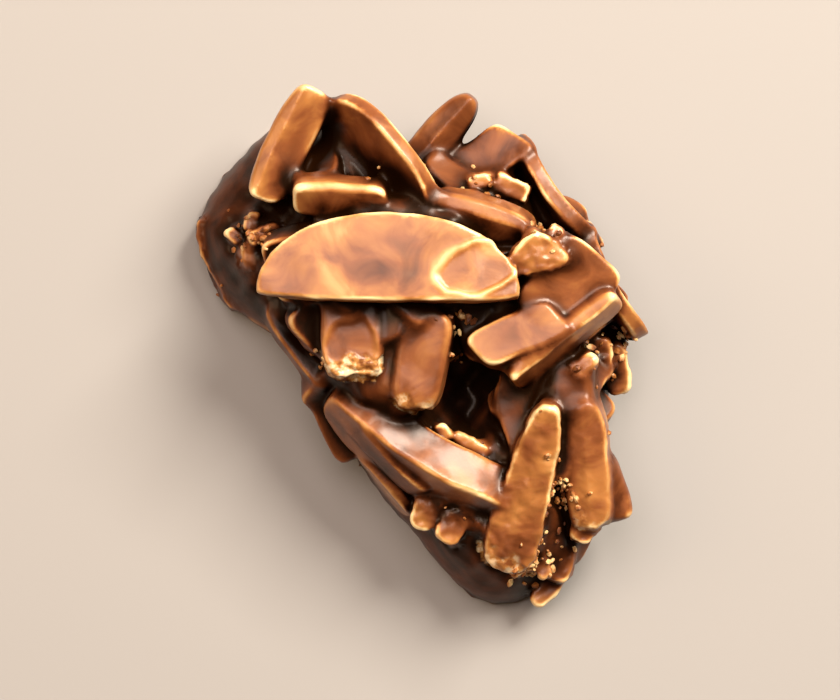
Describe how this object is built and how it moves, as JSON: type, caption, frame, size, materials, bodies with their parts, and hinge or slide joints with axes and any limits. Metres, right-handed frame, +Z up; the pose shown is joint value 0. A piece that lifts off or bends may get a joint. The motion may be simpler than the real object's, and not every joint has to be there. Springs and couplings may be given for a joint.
{
  "type": "chocolate almond cluster",
  "caption": "Free-standing heap of slivered and sliced almonds set in milk chocolate, with a flat underside and an uneven, craggy top.",
  "frame": {"origin": "middle of the outline on the flat underside", "axes": "+Z up from the underside, +Y along the longest side, away from the viewer at the near end of the picture"},
  "size_m": [0.0434, 0.0501, 0.0169],
  "materials": {
    "milk_chocolate": "satin milk chocolate, set in air, thin and golden over the almonds' edges and dark between them"
  },
  "bodies": {
    "root": {"almond_cluster": "milk_chocolate"}
  },
  "joints": []
}
